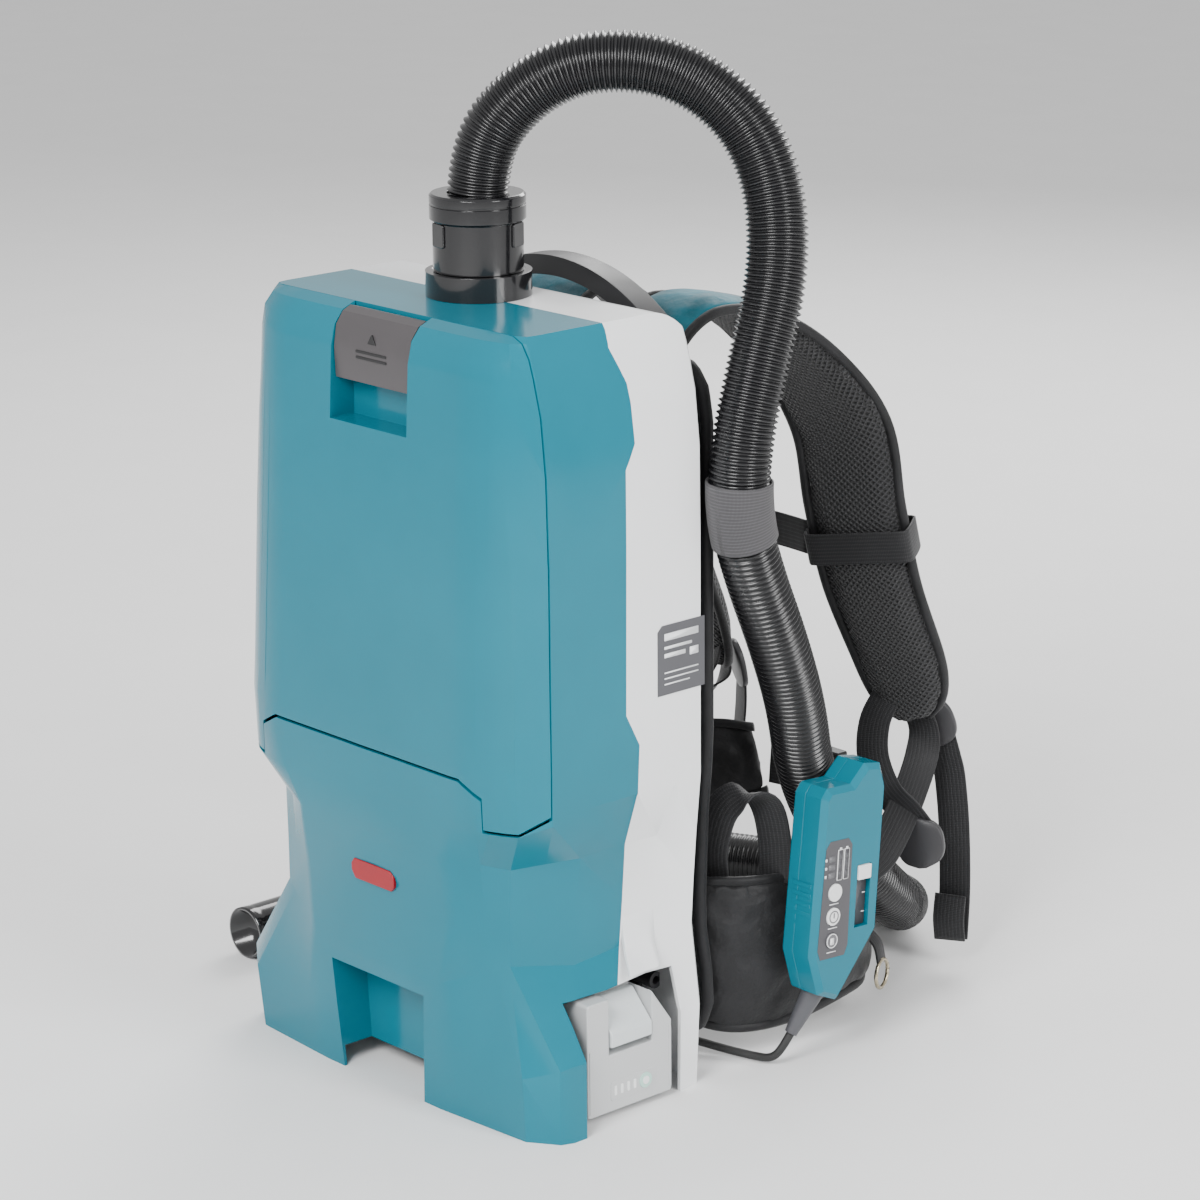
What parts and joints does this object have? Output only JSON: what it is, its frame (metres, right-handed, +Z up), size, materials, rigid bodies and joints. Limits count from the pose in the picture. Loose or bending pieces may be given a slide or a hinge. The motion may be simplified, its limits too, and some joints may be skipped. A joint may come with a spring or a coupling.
{
  "type": "backpack vacuum cleaner",
  "caption": "Upright battery backpack vacuum cleaner with hinged lid, padded harness, hip control box and ribbed suction hose.",
  "frame": {"origin": "centre of the base plate's underside, between the two batteries, on the surface it stands on", "axes": "+Z up through the body, -Y to the front with the lid, +Y to the harness and the wearer, +X to the side with the control box"},
  "size_m": [0.4796, 0.5254, 0.7286],
  "materials": {
    "white_gloss": "gloss",
    "teal_gloss": "gloss",
    "dark_grey_plastic": "satin",
    "black_gloss_plastic": "gloss",
    "black_plastic": "satin",
    "hose_black": "ribbed, gloss",
    "light_grey_plastic": "satin",
    "battery_grey": "satin",
    "label_grey": "printed plate",
    "red_badge": "gloss",
    "white_key": "gloss",
    "grey_key": "gloss",
    "panel_grey": "matte film",
    "steel": "brushed",
    "ring_metal": "worn plate",
    "spring_steel": "drawn wire",
    "aluminium_part": "cast",
    "rubber_part": "matte",
    "board": "circuit board",
    "filter_paper": "pleated",
    "bag_paper": "fleece",
    "spacer_mesh": "spacer mesh over foam",
    "nylon": "nylon over foam",
    "webbing": "ribbed webbing",
    "cable_black": "matte"
  },
  "bodies": {
    "body": {"front_housing": "teal_gloss", "rear_housing": "white_gloss", "lid_hinge_pins": "steel", "inlet_ring": "black_gloss_plastic", "inlet_pipe": "black_plastic", "bag_chamber": "dark_grey_plastic", "lid_gasket": "rubber_part", "bag_collar": "light_grey_plastic", "dust_bag": "bag_paper", "hepa_filter": "filter_paper", "motor_housing": "aluminium_part", "motor_stator": "steel", "motor_bearings": "steel", "motor_mounts": "rubber_part", "controller_board": "board", "battery_docks": "black_plastic", "base_plate": "black_plastic", "rating_plate": "label_grey", "front_badge": "red_badge", "carry_handle": "black_plastic", "back_panel": "black_plastic", "housing_screws": "steel", "back_pad": "spacer_mesh", "shoulder_pad_right": "spacer_mesh", "shoulder_pad_left": "spacer_mesh", "waist_belt_right": "nylon", "waist_belt_left": "nylon", "shoulder_webbing_right": "webbing", "shoulder_webbing_left": "webbing", "strap_adjusters": "black_plastic", "sternum_strap": "webbing", "belt_webbing": "webbing", "strap_buckles": "black_plastic", "stabiliser_loops": "webbing", "hose_band": "webbing", "d_ring": "ring_metal", "control_box_front": "teal_gloss", "control_box_rear": "teal_gloss", "control_panel": "panel_grey", "belt_clip": "black_plastic", "cable_relief": "label_grey", "control_cable": "cable_black", "hose": "hose_black", "hose_end_pipe": "black_gloss_plastic"},
    "lid": {"lid": "teal_gloss", "latch_pin": "steel", "latch_spring": "spring_steel"},
    "latch": {"lid_latch": "dark_grey_plastic"},
    "fan": {"impeller": "aluminium_part", "motor_shaft": "steel", "motor_rotor": "steel"},
    "cuff": {"hose_cuff": "black_gloss_plastic"},
    "battery_right": {"battery_right": "battery_grey"},
    "battery_left": {"battery_left": "battery_grey"},
    "battery_button_right": {"battery_button_right": "dark_grey_plastic"},
    "battery_button_left": {"battery_button_left": "dark_grey_plastic"},
    "mode_button": {"mode_button": "white_key"},
    "power_button": {"power_button": "white_key"},
    "gauge_button": {"gauge_button": "grey_key"},
    "control_lever": {"control_lever": "white_key"}
  },
  "joints": [
    {"name": "lid_hinge", "type": "hinge", "parent": "body", "child": "lid", "pos_m": [0, -0.0869, 0.224], "axis": [1, 0, 0], "range_deg": [0, 90]},
    {"name": "latch_pivot", "type": "hinge", "parent": "lid", "child": "latch", "pos_m": [0, -0.068, 0.541], "axis": [-1, 0, 0], "range_deg": [0, 30], "stiffness_Nm_per_rad": 0.12, "springref_deg": -17.19},
    {"name": "cuff_swivel", "type": "hinge", "parent": "body", "child": "cuff", "pos_m": [0, 0.014, 0.59], "axis": [0, 0, 1], "continuous": true},
    {"name": "fan_spin", "type": "hinge", "parent": "body", "child": "fan", "pos_m": [0, 0, 0.13], "axis": [0, 0, 1], "continuous": true},
    {"name": "battery_right_slide", "type": "slide", "parent": "body", "child": "battery_right", "axis": [1, 0, 0], "range_m": [0, 0.12]},
    {"name": "battery_left_slide", "type": "slide", "parent": "body", "child": "battery_left", "axis": [-1, 0, 0], "range_m": [0, 0.08]},
    {"name": "battery_button_right_press", "type": "slide", "parent": "battery_right", "child": "battery_button_right", "axis": [0, 0, -1], "range_m": [0, 0.004], "stiffness_N_per_m": 400, "springref_m": -0.002},
    {"name": "battery_button_left_press", "type": "slide", "parent": "battery_left", "child": "battery_button_left", "axis": [0, 0, -1], "range_m": [0, 0.004], "stiffness_N_per_m": 400, "springref_m": -0.002},
    {"name": "mode_button_press", "type": "slide", "parent": "body", "child": "mode_button", "axis": [-1, 0, 0], "range_m": [0, 0.001], "stiffness_N_per_m": 300, "springref_m": -0.001},
    {"name": "power_button_press", "type": "slide", "parent": "body", "child": "power_button", "axis": [-1, 0, 0], "range_m": [0, 0.001], "stiffness_N_per_m": 300, "springref_m": -0.001},
    {"name": "gauge_button_press", "type": "slide", "parent": "body", "child": "gauge_button", "axis": [-1, 0, 0], "range_m": [0, 0.001], "stiffness_N_per_m": 300, "springref_m": -0.001},
    {"name": "control_lever_slide", "type": "slide", "parent": "body", "child": "control_lever", "axis": [0, -0.0698, -0.9976], "range_m": [0, 0.014]}
  ]
}
